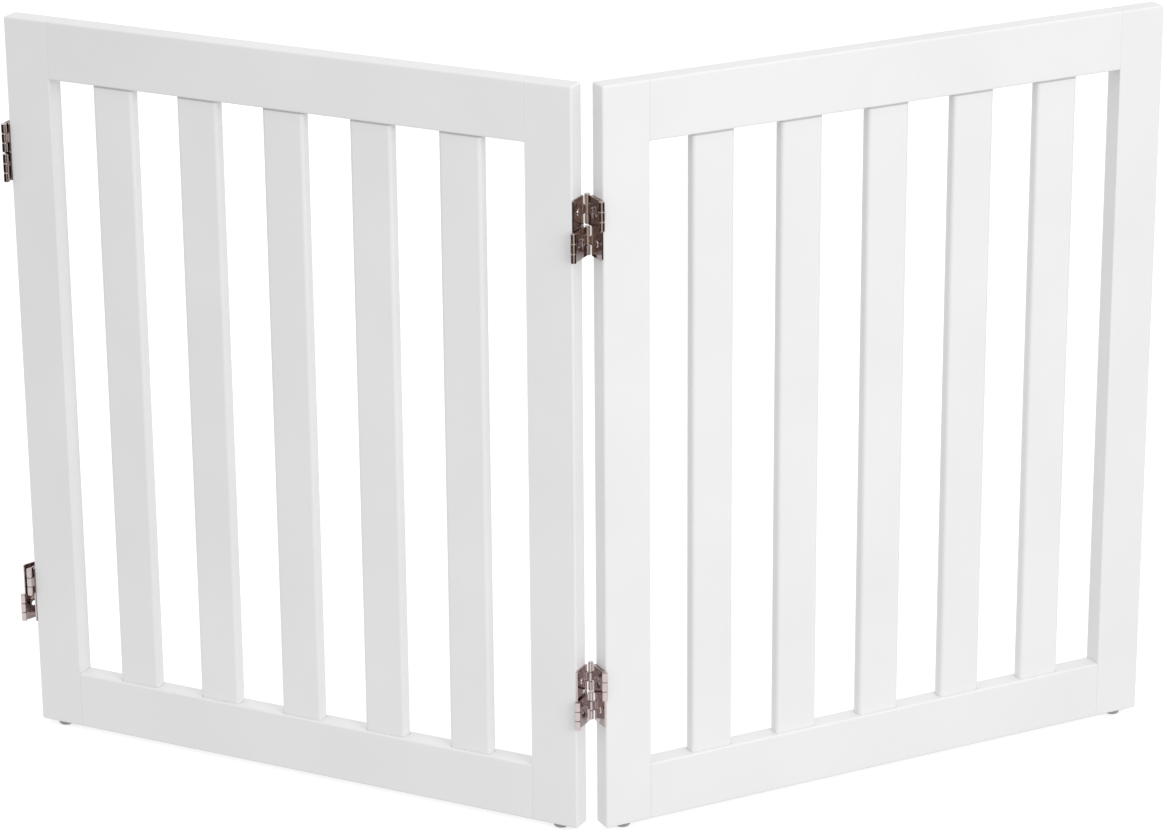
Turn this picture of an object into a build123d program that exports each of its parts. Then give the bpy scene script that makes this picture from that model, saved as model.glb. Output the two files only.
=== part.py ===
from build123d import *
from math import cos, radians, sin, tan
import os

# Two-panel folding pet gate of slatted wooden frames on double-action screen hinges.
# Millimetres, +Z up, floor at Z = 0. The panels stand in a V whose point faces -Y,
# and the origin is the middle of the object's outline on the floor.

# ---- driving dimensions ----
# panels
panel_height = 609.6
panel_width = 504.4
panel_thickness = 17.0
stile_width = 40.0
rail_height = 48.0
slat_count = 5
slat_width = 36.3
slat_thickness = 11.0
end_opening = 38.9          # from a stile to the slat beside it
frame_ease = 1.5            # rounding of the frame's edges
seam_ease = 0.4             # bevel where a rail butts against a stile
slat_round = 3.0            # rounding of a slat's long edges
tenon_length = 12.0         # how far a slat enters a rail
tenon_play = 0.2            # room around a slat in its mortise
dowel_radius = 4.0
dowel_length = 40.0
dowel_spread = 24.0         # between the two dowels of a joint
dowel_play = 0.5            # room at each end of a dowel
dowel_ease = 0.8

# glides under the stiles
glide_radius = 6.2
glide_height = 4.0
glide_round = 2.0
glide_inset = 18.5          # from a panel's end to the middle of its glide
nail_head_radius = 3.5
nail_head_height = 1.0
nail_head_level = 1.6       # underside of the nail's head above the floor
nail_shank_radius = 1.0
nail_top = 20.0

# hinges
hinge_from_end = 112.4      # from a panel's top or bottom edge to the middle of a hinge
half_height = 24.2          # one half of a hinge, above or below its middle
half_split = 0.8            # from a hinge's middle to the barrels and link of one half
hinge_gap = 2.7             # half the gap between two hinged panels
axis_outset = 3.4           # from a panel's face out to the hinge axis beside it
barrel_radius = 2.3
sheet = 1.2                 # thickness of the leaves and links
knuckle_gap = 0.3
knuckle_ease = 0.3
pin_radius = 1.2
pin_play = 0.05
pin_head_radius = 2.1
pin_head_height = 0.4
pin_head_round = 0.35
leaf_width = 17.0           # of the plate that lies on a panel's end
leaf_corner = 1.5
link_window_radius = 5.5    # driver access through a link
notch_play = 0.4            # room around a knuckle in a link's notch
screw_radius = 1.75
screw_head_radius = 2.8
screw_head_play = 0.1
screw_crown = 0.5           # height of the raised head above the leaf
screw_crown_round = 0.45
screw_length = 18.0
screw_tip = 4.0
screw_point_radius = 0.2
screw_hole_radius = 2.1
screw_sink_angle = 100.0
pilot_play = 0.02
recess_length = 3.2
recess_width = 0.8
recess_depth = 0.7

# pose at rest
half_fold = 26.73           # each panel's turn from the straight line
free_leaf_open = 21.0       # how far the lower free leaf stands open

# ---- worked out from them ----
axis_spacing = panel_thickness + 2 * axis_outset
inner_width = panel_width - 2 * stile_width
slat_pitch = (inner_width - 2 * end_opening - slat_width) / (slat_count - 1)
slat_length = panel_height - 2 * rail_height + 2 * tenon_length
half_middle = (half_height + half_split) / 2
knuckle_pitch = (half_height - half_split) / 3
knuckle_length = knuckle_pitch - knuckle_gap
hinge_levels = {"top": panel_height - hinge_from_end, "bottom": hinge_from_end}
turn = radians(half_fold)

# Outline of the whole gate, measured from the back axis of the middle hinges.
end_axis = panel_width + 2 * hinge_gap
open_turn = radians(half_fold + free_leaf_open)
left_reach = end_axis * cos(turn) + axis_spacing * sin(open_turn) + barrel_radius
ease_along = panel_width + hinge_gap - frame_ease
ease_across = panel_thickness + axis_outset - frame_ease
right_reach = ease_along * cos(turn) + ease_across * sin(turn) + frame_ease
back_reach = end_axis * sin(turn) + barrel_radius
front_reach = axis_spacing * cos(turn) + barrel_radius
back_axis = Vector((left_reach - right_reach) / 2, (front_reach - back_reach) / 2, glide_height)


def save(piece, node):
    """Label a finished piece and write it as one node."""
    piece.label = node
    export_step(piece, "parts/" + node + ".step")


# ---- planes ----
def panel_plane(side):
    """Middle plane of a panel: X along it, Y up, Z to its front, origin at its hinge end's foot."""
    along = Vector(cos(turn), side * sin(turn), 0)
    front = Vector(side * sin(turn), -cos(turn), 0)
    corner = back_axis + along * (side * hinge_gap) + front * (axis_spacing / 2)
    return Plane(corner, x_dir=along, z_dir=front)


def hinge_plane(panel, x, level):
    """Middle plane of a hinge: X to the back, Y up, Z along the panel, origin at its middle."""
    return Plane(panel.from_local_coords((x, level, 0)), x_dir=-panel.z_dir, z_dir=panel.x_dir)


def swung(plane, angle):
    """A hinge plane turned about its back axis, clockwise from above."""
    pivot = plane.from_local_coords((axis_spacing / 2, 0, 0))
    back = plane.x_dir.rotate(Axis.Z, -angle)
    return Plane(pivot - back * (axis_spacing / 2), x_dir=back, z_dir=plane.z_dir.rotate(Axis.Z, -angle))


def level_plane(plane, x, y):
    """Level plane through a point of a hinge plane, on which knuckles and pins are drawn."""
    return Plane(plane.from_local_coords((x, y, 0)), x_dir=plane.x_dir, z_dir=(0, 0, 1))


# ---- wooden panels ----
def end_outline(piece, panel, end):
    """Edges round the face at one end of a piece along its panel; end is 1 or -1."""
    faces = piece.faces().sort_by(Axis(panel.origin, panel.x_dir))
    return faces[-1 if end > 0 else 0].edges()


def make_stile(node, panel, side, middle, glide_x, screw_end, hinged):
    """Upright of a frame, drilled for dowels, glide nail and, on a hinged end, hinge screws."""
    inward = 1 if middle < side * panel_width / 2 else -1
    with BuildPart() as stile:
        with BuildSketch(panel.offset(-panel_thickness / 2)):
            with Locations((middle, panel_height / 2)):
                Rectangle(stile_width, panel_height)
        extrude(amount=panel_thickness)
        butt_edges = end_outline(stile, panel, inward)
        fillet(stile.edges() - butt_edges, radius=frame_ease)
        chamfer(end_outline(stile, panel, inward), length=seam_ease)
        joint = hinge_plane(panel, middle + inward * stile_width / 2, 0)
        with BuildSketch(joint):
            for level in (rail_height / 2, panel_height - rail_height / 2):
                with Locations((0, level - dowel_spread / 2), (0, level + dowel_spread / 2)):
                    Circle(dowel_radius)
        extrude(amount=-inward * (dowel_length / 2 + dowel_play), mode=Mode.SUBTRACT)
        with BuildSketch(Plane(panel.from_local_coords((glide_x, 0, 0)), z_dir=(0, 0, 1))):
            Circle(nail_shank_radius)
        extrude(amount=nail_top - glide_height, mode=Mode.SUBTRACT)
        if hinged:
            with BuildSketch(hinge_plane(panel, screw_end, 0)):
                for level in hinge_levels.values():
                    with Locations((0, level - half_middle), (0, level + half_middle)):
                        Circle(screw_radius + pilot_play)
            extrude(amount=inward * screw_length, mode=Mode.SUBTRACT)
    save(stile.part, node)


def make_rail(node, panel, middle, level, slat_places, mortise_side):
    """Cross bar of a frame, with dowel holes in its ends and a mortise for each slat."""
    mortise_level = level + mortise_side * rail_height / 2
    with BuildPart() as rail:
        with BuildSketch(panel.offset(-panel_thickness / 2)):
            with Locations((middle, level)):
                Rectangle(inner_width, rail_height)
        extrude(amount=panel_thickness)
        fillet(rail.edges().filter_by(Axis(panel.origin, panel.x_dir)), radius=frame_ease)
        for end in (-1, 1):
            chamfer(end_outline(rail, panel, end), length=seam_ease)
        for end in (-1, 1):
            with BuildSketch(hinge_plane(panel, middle + end * inner_width / 2, level)):
                with Locations((0, -dowel_spread / 2), (0, dowel_spread / 2)):
                    Circle(dowel_radius)
            extrude(amount=-end * (dowel_length / 2 + dowel_play), mode=Mode.SUBTRACT)
        foot = panel.from_local_coords((0, mortise_level, 0))
        with BuildSketch(Plane(foot, x_dir=panel.x_dir, z_dir=(0, 0, 1))):
            with Locations([(place, 0) for place in slat_places]):
                RectangleRounded(slat_width + 2 * tenon_play, slat_thickness + 2 * tenon_play, slat_round)
        extrude(amount=-mortise_side * tenon_length, mode=Mode.SUBTRACT)
    save(rail.part, node)


def make_slat(node, panel, place):
    """Flat upright bar with well rounded long edges, its two ends housed in the rails."""
    foot = panel.from_local_coords((place, rail_height - tenon_length, 0))
    with BuildPart() as slat:
        with BuildSketch(Plane(foot, x_dir=panel.x_dir, z_dir=(0, 0, 1))):
            RectangleRounded(slat_width, slat_thickness, slat_round)
        extrude(amount=slat_length)
    save(slat.part, node)


def make_dowels(node, panel, joints):
    """Eight round pegs across the butt joints, two to a joint, with eased ends."""
    with BuildPart() as dowels:
        for joint in joints:
            for level in (rail_height / 2, panel_height - rail_height / 2):
                with BuildSketch(hinge_plane(panel, joint - dowel_length / 2, level)):
                    with Locations((0, -dowel_spread / 2), (0, dowel_spread / 2)):
                        Circle(dowel_radius)
                extrude(amount=dowel_length)
        chamfer(dowels.edges().filter_by(GeomType.CIRCLE), length=dowel_ease)
    save(dowels.part, node)


def foot_plane(panel, x, height):
    """Level plane under a panel, at a height above the floor."""
    return Plane(panel.from_local_coords((x, height - glide_height, 0)), z_dir=(0, 0, 1))


def nail_shape(panel, x):
    """Head and shank of the nail through a glide."""
    with BuildPart() as nail:
        with BuildSketch(foot_plane(panel, x, nail_head_level)):
            Circle(nail_head_radius)
        extrude(amount=nail_head_height)
        with BuildSketch(foot_plane(panel, x, nail_head_level)):
            Circle(nail_shank_radius)
        extrude(amount=nail_top - nail_head_level)
    return nail.part


def make_glide(node, panel, x):
    """Domed foot with a small flat sole, moulded round the head of its nail."""
    nail = nail_shape(panel, x)
    with BuildPart() as glide:
        with BuildSketch(foot_plane(panel, x, 0)):
            Circle(glide_radius)
        extrude(amount=glide_height)
        fillet(glide.edges().sort_by(Axis.Z)[0], radius=glide_round)
        add(nail, mode=Mode.SUBTRACT)
    save(glide.part, node)


def make_nails(node, panel, places):
    """The two nails that hold a panel's glides."""
    shapes = [nail_shape(panel, x) for x in places]
    with BuildPart() as nails:
        add(shapes)
    save(nails.part, node)


def make_panel(name, side):
    """One framed panel; side is -1 for the left panel and 1 for the right one."""
    panel = panel_plane(side)
    hinge_middle = side * stile_width / 2
    outer_middle = side * (panel_width - stile_width / 2)
    hinge_glide = side * glide_inset
    outer_glide = side * (panel_width - glide_inset)
    make_stile(name + "_hinge_stile", panel, side, hinge_middle, hinge_glide, 0, True)
    make_stile(name + "_outer_stile", panel, side, outer_middle, outer_glide, side * panel_width, side < 0)
    first_slat = stile_width + end_opening + slat_width / 2
    places = [side * (first_slat + number * slat_pitch) for number in range(slat_count)]
    middle = side * panel_width / 2
    make_rail(name + "_bottom_rail", panel, middle, rail_height / 2, places, 1)
    make_rail(name + "_top_rail", panel, middle, panel_height - rail_height / 2, places, -1)
    for number, place in enumerate(places, start=1):
        make_slat(name + "_slat_" + str(number), panel, place)
    make_dowels(name + "_dowels", panel, (side * stile_width, side * (panel_width - stile_width)))
    make_glide(name + "_hinge_glide", panel, hinge_glide)
    make_glide(name + "_outer_glide", panel, outer_glide)
    make_nails(name + "_glide_nails", panel, (hinge_glide, outer_glide))


# ---- double-action hinges ----
# A leaf's upper and lower halves reach opposite axes, and each half is tied to the other
# leaf by a link that runs from the front axis to the back one. A left leaf's upper half
# takes the back axis. side is -1 for a left leaf and 1 for a right one, and half is 1 for
# the upper half and -1 for the lower one.
def knuckle_shape(plane, x, start, direction):
    """Solid barrel of one knuckle with bevelled ends, from a height up (1) or down (-1)."""
    with BuildPart() as knuckle:
        with BuildSketch(level_plane(plane, x, start)):
            Circle(barrel_radius)
        extrude(amount=direction * knuckle_length)
        chamfer(knuckle.edges().filter_by(GeomType.CIRCLE), length=knuckle_ease)
    return knuckle.part


def make_leaf(node, plane, side):
    """Leaf against a panel's end, with one middle knuckle and one sunk screw hole per half."""
    starts = {half: half * half_middle - knuckle_length / 2 for half in (1, -1)}
    axes = {half: -side * half * axis_spacing / 2 for half in (1, -1)}
    knuckles = [knuckle_shape(plane, axes[half], starts[half], 1) for half in (1, -1)]
    with BuildPart() as leaf:
        with BuildSketch(plane.offset(side * hinge_gap)):
            RectangleRounded(leaf_width, 2 * half_height, leaf_corner)
            for half in (1, -1):
                with Locations((axes[half] / 2, half * half_middle)):
                    Rectangle(axis_spacing / 2, knuckle_length)
        extrude(amount=-side * sheet)
        add(knuckles)
        for half in (1, -1):
            with BuildSketch(level_plane(plane, axes[half], starts[half])):
                Circle(pin_radius + pin_play)
            extrude(amount=knuckle_length, mode=Mode.SUBTRACT)
        inner_face = plane.offset(side * (hinge_gap - sheet))
        with Locations(Plane(inner_face.origin, x_dir=plane.x_dir, z_dir=-side * plane.z_dir)):
            with Locations((0, half_middle), (0, -half_middle)):
                CounterSinkHole(
                    radius=screw_hole_radius,
                    counter_sink_radius=screw_head_radius + screw_head_play,
                    depth=sheet,
                    counter_sink_angle=screw_sink_angle,
                )
    save(leaf.part, node)


def make_link(node, plane, half):
    """Plate between the two axes, with two knuckles on each and a driver window."""
    axes = [(-axis_spacing / 2, 0), (axis_spacing / 2, 0)]
    notch = 2 * (barrel_radius + notch_play)
    ends = ((half_split, half), (half_height, -half))
    knuckles = [knuckle_shape(plane, x, half * end, way) for x, _ in axes for end, way in ends]
    with BuildPart() as link:
        with BuildSketch(plane.offset(-sheet / 2)):
            with Locations((0, half * half_middle)):
                Rectangle(axis_spacing, half_height - half_split)
                Circle(link_window_radius, mode=Mode.SUBTRACT)
        extrude(amount=sheet)
        with BuildSketch(level_plane(plane, 0, half * (half_split + knuckle_length + knuckle_gap / 2))):
            with Locations(axes):
                Rectangle(notch, notch)
        extrude(amount=half * (knuckle_length + 2 * knuckle_gap), mode=Mode.SUBTRACT)
        add(knuckles)
        with BuildSketch(level_plane(plane, 0, half * half_split)):
            with Locations(axes):
                Circle(pin_radius)
        extrude(amount=half * (half_height - half_split), mode=Mode.SUBTRACT)
    save(link.part, node)


def make_pins(node, plane, half):
    """The two pins fast in a link. The upper back pin has a low domed head, the others end flush."""
    with BuildPart() as pins:
        with BuildSketch(level_plane(plane, 0, half * half_split)):
            with Locations((-axis_spacing / 2, 0), (axis_spacing / 2, 0)):
                Circle(pin_radius)
        extrude(amount=half * (half_height - half_split))
        if half > 0:
            with BuildSketch(level_plane(plane, axis_spacing / 2, half_height)):
                Circle(pin_head_radius)
            extrude(amount=pin_head_height)
            fillet(pins.edges().sort_by(Axis.Z)[-1], radius=pin_head_round)
    save(pins.part, node)


def make_screws(node, plane, side):
    """A leaf's two raised countersunk wood screws with crossed driver recesses."""
    seat = plane.offset(side * (hinge_gap - sheet))
    head_depth = (screw_head_radius - screw_radius) / tan(radians(screw_sink_angle / 2))
    with BuildPart() as screws:
        for level in (half_middle, -half_middle):
            middle = Plane(seat.from_local_coords((0, level, 0)), x_dir=seat.x_dir, z_dir=seat.z_dir)
            with BuildSketch(middle):
                Circle(screw_head_radius)
            with BuildSketch(middle.offset(side * head_depth)):
                Circle(screw_radius)
            loft()
            with BuildSketch(middle):
                Circle(screw_head_radius)
            crown = extrude(amount=-side * screw_crown)
            rims = crown.edges().filter_by(GeomType.CIRCLE).sort_by(Axis(middle.origin, middle.z_dir))
            fillet(rims[0 if side > 0 else -1], radius=screw_crown_round)
            with BuildSketch(middle.offset(side * head_depth)):
                Circle(screw_radius)
            extrude(amount=side * (screw_length - screw_tip - head_depth))
            with BuildSketch(middle.offset(side * (screw_length - screw_tip))):
                Circle(screw_radius)
            with BuildSketch(middle.offset(side * screw_length)):
                Circle(screw_point_radius)
            loft()
            with BuildSketch(middle.offset(-side * screw_crown)):
                Rectangle(recess_length, recess_width)
                Rectangle(recess_width, recess_length)
            extrude(amount=side * (screw_crown + recess_depth), mode=Mode.SUBTRACT)
    save(screws.part, node)


def make_hinge(name, left, right, left_name, right_name, left_screwed):
    """One hinge. The upper link lies along the right leaf and the lower link along the left one."""
    make_leaf(name + left_name, left, -1)
    make_leaf(name + right_name, right, 1)
    make_link(name + "_upper_link", right, 1)
    make_link(name + "_lower_link", left, -1)
    make_pins(name + "_upper_pins", right, 1)
    make_pins(name + "_lower_pins", left, -1)
    make_screws(name + "_right_screws" if left_screwed else name + "_screws", right, 1)
    if left_screwed:
        make_screws(name + "_left_screws", left, -1)


# ---- assembly ----
os.makedirs("parts", exist_ok=True)
left_panel = panel_plane(-1)
right_panel = panel_plane(1)
make_panel("left", -1)
make_panel("right", 1)
for place, level in hinge_levels.items():
    left_side = hinge_plane(left_panel, hinge_gap, level)
    right_side = hinge_plane(right_panel, -hinge_gap, level)
    make_hinge(place + "_hinge", left_side, right_side, "_left_leaf", "_right_leaf", True)
    end_side = hinge_plane(left_panel, -panel_width - hinge_gap, level)
    free_side = swung(end_side, free_leaf_open) if place == "bottom" else end_side
    make_hinge(place + "_end_hinge", free_side, end_side, "_free_leaf", "_fixed_leaf", False)
    print(place, "hinge level", level + glide_height)
    print("  middle back axis", left_side.from_local_coords((axis_spacing / 2, 0, 0)))
    print("  end back axis", end_side.from_local_coords((axis_spacing / 2, 0, 0)))
    print("  end front axis", end_side.from_local_coords((-axis_spacing / 2, 0, 0)))
    print("  free leaf's face", free_side.from_local_coords((0, 0, -hinge_gap)), -free_side.z_dir)
    for screw_level in (half_middle, -half_middle):
        print("  free leaf's hole", free_side.from_local_coords((0, screw_level, -hinge_gap)))
for side, panel in ((-1, left_panel), (1, right_panel)):
    for glide_x in (side * glide_inset, side * (panel_width - glide_inset)):
        print("glide", foot_plane(panel, glide_x, 0).origin)
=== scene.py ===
"""Pet gate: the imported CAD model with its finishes, on a pale studio floor."""
import math

import bpy
from mathutils import Matrix, Vector

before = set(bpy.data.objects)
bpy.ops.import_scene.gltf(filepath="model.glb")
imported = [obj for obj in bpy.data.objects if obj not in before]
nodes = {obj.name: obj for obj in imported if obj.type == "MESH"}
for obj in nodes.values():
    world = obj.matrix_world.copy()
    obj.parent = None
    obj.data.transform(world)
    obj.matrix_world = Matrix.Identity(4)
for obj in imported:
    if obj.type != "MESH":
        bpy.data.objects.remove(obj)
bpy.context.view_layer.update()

# ---- camera ----
CAMERA_PLACE = (-0.0137, -3.1039, 1.4341)
CAMERA_YAW = 0.0052
CAMERA_PITCH = 0.3476
CAMERA_ROLL = -0.0079
LENS = 128.07
SENSOR = 36.0
CAMERA_REACH = 30

# ---- stage and light ----
FLOOR_HALF = 14.0
FLOOR_TONE = (0.55, 0.55, 0.55)
FLOOR_GLOW = 0.6
FLOOR_ROUGHNESS = 0.9
SWEEP_HALF = 0.85           # half the width of the white sweep under the gate
SWEEP_FRONT = 0.62          # from the origin forward to the sweep's edge
BOARDS_START = 1.42
ROOM_LIFT = 0.001
ROOM_DARK = (0.036, 0.024, 0.022)
ROOM_BOARDS = (0.62, 0.53, 0.45)
KEY_PLACE = (1.05, -1.42, 0.9)
KEY_TARGET = (0.0, 0.0, 0.3)
KEY_SIZE = 0.8
KEY_POWER = 9.3
SKY_STRENGTH = 0.97         # light of the surround from above
GROUND_STRENGTH = 0.64      # and from below, the bounce of the sweep
HORIZON_SOFTNESS = 0.1
WHITE = (1, 1, 1, 1)

# ---- object ----
HALF_FOLD = math.radians(26.73)    # each panel's turn from the straight line
SLAT_TOP = 0.5656           # where a slat enters the top rail
PAINTED_SHADOW_DEPTH = 0.0024         # how far down the slat the painted shadow under the top rail reaches
# softness of the painted shadow's lower edge
PAINTED_SHADOW_FADE = 0.0006
# grey of the painted shadow at the slat tops
PAINTED_SHADOW_TINT = (0.55, 0.55, 0.545)
PAINT_SHADES = ((0.80, 0.80, 0.80), (0.83, 0.83, 0.828))
PAINT_ROUGHNESS = (0.36, 0.48)
PAINT_GLOSS = 0.4
PLATE_COLOUR = (0.55, 0.48, 0.472)
PIN_COLOUR = (0.57, 0.50, 0.49)
SCREW_COLOUR = (0.80, 0.77, 0.74)
NAIL_COLOUR = (0.5, 0.5, 0.5)
HAZE_TONE = 0.9             # how much darker nickel is under handling haze
HAZE_ROUGHNESS = 0.06       # and how much rougher
PLASTIC_SHADES = ((0.26, 0.26, 0.255), (0.36, 0.36, 0.355))
PLASTIC_SCATTER = 0.3
PLASTIC_DEPTH = 0.002
BEECH_SHADES = ((0.62, 0.41, 0.24), (0.78, 0.58, 0.38))
PLATE_BRUSH = (30, 30, 1800)       # noise scales of the drawing lines
PIN_BRUSH = (30, 30, 2500)
SCREW_BRUSH = (900, 900, 900)
NAIL_BRUSH = (600, 600, 600)
FIBRE_SCALE = (25, 25, 260)
NOISE_SPAN = (0.3, 0.7)     # where a noise has most of its values
HAZE_SPAN = (0.35, 0.7)
GRAIN_FINE = 60.0           # noise scale across the grain
GRAIN_LONG = 2.5            # and along it


def make_camera():
    data = bpy.data.cameras.new("camera")
    data.lens = LENS
    data.sensor_width = SENSOR
    data.clip_end = CAMERA_REACH
    camera = bpy.data.objects.new("camera", data)
    turn = Matrix.Rotation(-CAMERA_YAW, 4, "Z")
    tilt = Matrix.Rotation(math.pi / 2 - CAMERA_PITCH, 4, "X")
    roll = Matrix.Rotation(CAMERA_ROLL, 4, "Z")
    camera.matrix_world = Matrix.Translation(CAMERA_PLACE) @ turn @ tilt @ roll
    bpy.context.scene.collection.objects.link(camera)
    bpy.context.scene.camera = camera


class Nodes:
    """A small helper that adds shader nodes and links them."""

    def __init__(self, tree):
        self.tree = tree

    def add(self, kind, **values):
        node = self.tree.nodes.new(kind)
        for name, value in values.items():
            if name in node.inputs:
                node.inputs[name].default_value = value
            else:
                setattr(node, name, value)
        return node

    def link(self, source, target):
        self.tree.links.new(source, target)


def new_material(name):
    material = bpy.data.materials.new(name)
    material.use_nodes = True
    kit = Nodes(material.node_tree)
    return material, kit, material.node_tree.nodes["Principled BSDF"]


def object_points(kit, turn=0.0, scale=(1, 1, 1)):
    """Points in the row frame, turned about Z and scaled."""
    where = kit.add("ShaderNodeTexCoord")
    turned = kit.add("ShaderNodeMapping")
    turned.inputs["Rotation"].default_value = (0, 0, turn)
    scaled = kit.add("ShaderNodeMapping")
    scaled.inputs["Scale"].default_value = scale
    kit.link(where.outputs["Object"], turned.inputs["Vector"])
    kit.link(turned.outputs["Vector"], scaled.inputs["Vector"])
    return scaled.outputs["Vector"]


def noise(kit, points, scale, detail=3.0, roughness=0.5):
    node = kit.add("ShaderNodeTexNoise", Scale=scale, Detail=detail, Roughness=roughness)
    kit.link(points, node.inputs["Vector"])
    return node.outputs["Fac"]


def ramp(kit, value, low, high, out_low, out_high):
    node = kit.add("ShaderNodeMapRange")
    node.inputs["From Min"].default_value = low
    node.inputs["From Max"].default_value = high
    node.inputs["To Min"].default_value = out_low
    node.inputs["To Max"].default_value = out_high
    kit.link(value, node.inputs["Value"])
    return node.outputs["Result"]


def mix_colour(kit, factor, first, second):
    node = kit.add("ShaderNodeMix", data_type="RGBA")
    node.inputs["A"].default_value = (*first, 1)
    node.inputs["B"].default_value = (*second, 1)
    kit.link(factor, node.inputs["Factor"])
    return node.outputs["Result"]


def bump(kit, height, strength, distance, normal=None):
    node = kit.add("ShaderNodeBump", Strength=strength, Distance=distance)
    kit.link(height, node.inputs["Height"])
    if normal:
        kit.link(normal, node.inputs["Normal"])
    return node.outputs["Normal"]


def painted_rail_shadow(kit, points, tone):
    """Painted shadow: a grey band round the top of a slat, just below where it enters the rail,
    standing in for the shade under the rail's edge.
    """
    height = kit.add("ShaderNodeSeparateXYZ")
    kit.link(points, height.inputs["Vector"])
    shadow_start = SLAT_TOP - PAINTED_SHADOW_DEPTH
    depth = ramp(kit, height.outputs["Z"], shadow_start, shadow_start + PAINTED_SHADOW_FADE, 0, 1)
    shaded = mix_colour(kit, depth, PAINTED_SHADOW_TINT, PAINTED_SHADOW_TINT)
    kit.link(tone, shaded.node.inputs["A"])
    return shaded


def painted_wood(name, turn, along, shadowed_top=False):
    """White satin paint over planed wood, with the grain just telling through along one axis."""
    material, kit, shader = new_material(name)
    grain_scale = [GRAIN_FINE] * 3
    grain_scale[along] = GRAIN_LONG
    points = object_points(kit, turn)
    stretched = object_points(kit, turn, grain_scale)
    grain = noise(kit, stretched, 1.0, 5.0, 0.6)
    peel = noise(kit, points, 900.0, 2.0)
    cloud = noise(kit, points, 9.0, 2.0)
    tone = mix_colour(kit, ramp(kit, cloud, *NOISE_SPAN, 0, 1), *PAINT_SHADES)
    # slats get the painted shadow under the top rail
    if shadowed_top:
        tone = painted_rail_shadow(kit, points, tone)
    kit.link(tone, shader.inputs["Base Color"])
    kit.link(ramp(kit, peel, *NOISE_SPAN, *PAINT_ROUGHNESS), shader.inputs["Roughness"])
    relief = bump(kit, grain, 0.25, 0.0002)
    kit.link(bump(kit, peel, 0.2, 0.00008, relief), shader.inputs["Normal"])
    shader.inputs["Specular IOR Level"].default_value = PAINT_GLOSS
    return material


def plated_steel(name, colour, roughness, brush):
    """Bright nickel over steel, with fine drawing lines and faint handling haze."""
    material, kit, shader = new_material(name)
    points = object_points(kit)
    lines = noise(kit, object_points(kit, 0, brush), 1.0, 4.0, 0.65)
    haze = noise(kit, points, 90.0, 2.0)
    darker = tuple(channel * HAZE_TONE for channel in colour)
    tone = mix_colour(kit, ramp(kit, haze, *HAZE_SPAN, 0, 1), colour, darker)
    kit.link(tone, shader.inputs["Base Color"])
    hazed = ramp(kit, haze, *NOISE_SPAN, roughness, roughness + HAZE_ROUGHNESS)
    kit.link(hazed, shader.inputs["Roughness"])
    kit.link(bump(kit, lines, 0.03, 0.00001), shader.inputs["Normal"])
    shader.inputs["Metallic"].default_value = 1.0
    return material


def moulded_plastic(name):
    """Grey translucent polyethylene."""
    material, kit, shader = new_material(name)
    points = object_points(kit)
    cloud = noise(kit, points, 300.0, 3.0)
    kit.link(mix_colour(kit, cloud, *PLASTIC_SHADES), shader.inputs["Base Color"])
    kit.link(bump(kit, noise(kit, points, 2500.0, 2.0), 0.2, 0.0001), shader.inputs["Normal"])
    shader.inputs["Roughness"].default_value = 0.45
    shader.inputs["Subsurface Weight"].default_value = PLASTIC_SCATTER
    shader.inputs["Subsurface Scale"].default_value = PLASTIC_DEPTH
    return material


def bare_beech(name):
    """Unfinished beech with short darker flecks along the dowel."""
    material, kit, shader = new_material(name)
    stretched = object_points(kit, 0, FIBRE_SCALE)
    fibre = noise(kit, stretched, 1.0, 6.0, 0.7)
    kit.link(mix_colour(kit, fibre, *BEECH_SHADES), shader.inputs["Base Color"])
    kit.link(bump(kit, fibre, 0.4, 0.0003), shader.inputs["Normal"])
    shader.inputs["Roughness"].default_value = 0.7
    return material


def finish_nodes():
    """Give every CAD node the finish of its kind."""
    stile = painted_wood("white_paint_stile", 0, 2)
    # the slats carry the painted shadow under the top rail
    slat = painted_wood("white_paint_slat", 0, 2, True)
    rails = {
        "left": painted_wood("white_paint_left_rail", HALF_FOLD, 0),
        "right": painted_wood("white_paint_right_rail", -HALF_FOLD, 0),
    }
    plate = plated_steel("nickel_plate", PLATE_COLOUR, 0.08, PLATE_BRUSH)
    pin = plated_steel("nickel_rod", PIN_COLOUR, 0.10, PIN_BRUSH)
    screw = plated_steel("nickel_screw", SCREW_COLOUR, 0.14, SCREW_BRUSH)
    nail = plated_steel("nail_wire", NAIL_COLOUR, 0.35, NAIL_BRUSH)
    plastic = moulded_plastic("glide_polyethylene")
    beech = bare_beech("beech_dowel")
    for name, node in nodes.items():
        if name.endswith("_rail"):
            material = rails[name.split("_")[0]]
        elif name.endswith("_stile"):
            material = stile
        elif "_slat_" in name:
            material = slat
        elif name.endswith("_dowels"):
            material = beech
        elif name.endswith("_glide"):
            material = plastic
        elif name.endswith("_nails"):
            material = nail
        elif name.endswith("screws"):
            material = screw
        elif name.endswith("_pins"):
            material = pin
        else:
            material = plate
        node.data.materials.clear()
        node.data.materials.append(material)


def level_surface(name, x_range, y_range, height, colour):
    """A matt rectangle at a height, unseen by diffuse rays, and its shader."""
    mesh = bpy.data.meshes.new(name)
    (left, right), (front, back) = x_range, y_range
    corners = [(left, front), (right, front), (right, back), (left, back)]
    mesh.from_pydata([(x, y, height) for x, y in corners], [], [(0, 1, 2, 3)])
    surface = bpy.data.objects.new(name, mesh)
    material, _, shader = new_material(name)
    shader.inputs["Base Color"].default_value = (*colour, 1)
    shader.inputs["Roughness"].default_value = FLOOR_ROUGHNESS
    shader.inputs["Specular IOR Level"].default_value = 0.0
    mesh.materials.append(material)
    bpy.context.scene.collection.objects.link(surface)
    surface.visible_diffuse = False
    return surface, shader


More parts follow.
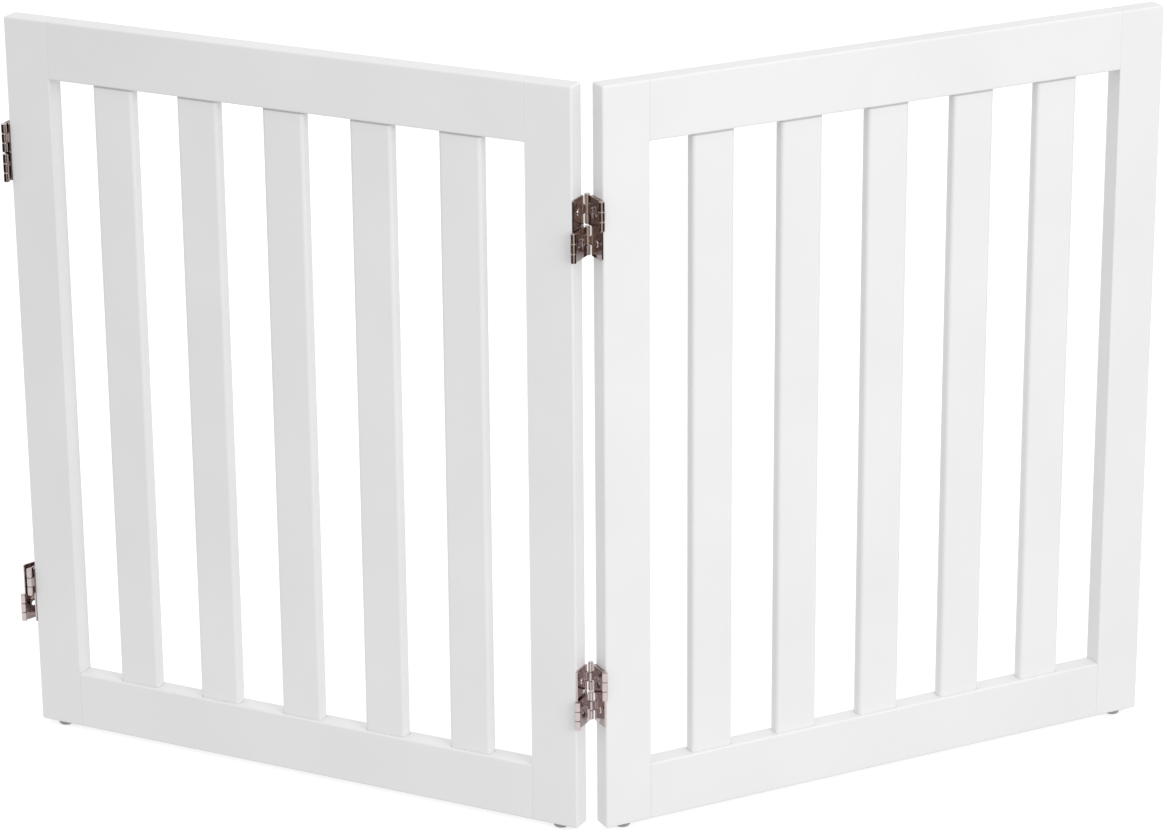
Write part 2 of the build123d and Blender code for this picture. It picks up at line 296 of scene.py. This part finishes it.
def make_floor():
    """A plain white floor, lit evenly from within so that it stays without a horizon."""
    whole = (-FLOOR_HALF, FLOOR_HALF)
    _, shader = level_surface("floor", whole, whole, 0, FLOOR_TONE)
    shader.inputs["Emission Color"].default_value = WHITE
    shader.inputs["Emission Strength"].default_value = FLOOR_GLOW


def room_patch(name, x_range, y_range, colour):
    """Part of the room's floor beyond the white sweep, which only the glossy finishes reflect."""
    patch, _ = level_surface(name, x_range, y_range, ROOM_LIFT, colour)
    patch.visible_camera = False
    patch.visible_shadow = False


def make_room():
    """Dark floor to the sides and in front of the sweep, and lighter boards further off."""
    room_patch("room_left", (-FLOOR_HALF, -SWEEP_HALF), (-FLOOR_HALF, FLOOR_HALF), ROOM_DARK)
    room_patch("room_right", (SWEEP_HALF, FLOOR_HALF), (-FLOOR_HALF, FLOOR_HALF), ROOM_DARK)
    room_patch("room_front", (-SWEEP_HALF, SWEEP_HALF), (-BOARDS_START, -SWEEP_FRONT), ROOM_DARK)
    room_patch("room_boards", (-SWEEP_HALF, SWEEP_HALF), (-FLOOR_HALF, -BOARDS_START), ROOM_BOARDS)


def make_key():
    """A large softbox to the right of the gate and nearer to it than the camera."""
    data = bpy.data.lights.new("key", "AREA")
    data.energy = KEY_POWER
    data.size = KEY_SIZE
    key = bpy.data.objects.new("key", data)
    key.location = KEY_PLACE
    aim = Vector(KEY_PLACE) - Vector(KEY_TARGET)
    key.rotation_euler = aim.to_track_quat("Z", "Y").to_euler()
    bpy.context.scene.collection.objects.link(key)


def make_surround():
    """An even white surround, brighter above the horizon than below it."""
    world = bpy.data.worlds.new("studio")
    world.use_nodes = True
    kit = Nodes(world.node_tree)
    where = kit.add("ShaderNodeTexCoord")
    height = kit.add("ShaderNodeSeparateXYZ")
    kit.link(where.outputs["Generated"], height.inputs["Vector"])
    horizon = (-HORIZON_SOFTNESS, HORIZON_SOFTNESS)
    strength = ramp(kit, height.outputs["Z"], *horizon, GROUND_STRENGTH, SKY_STRENGTH)
    background = world.node_tree.nodes["Background"]
    kit.link(strength, background.inputs["Strength"])
    background.inputs["Color"].default_value = WHITE
    bpy.context.scene.world = world


make_camera()
make_key()
make_surround()
make_floor()
make_room()
finish_nodes()
bpy.context.scene.view_settings.view_transform = "Standard"
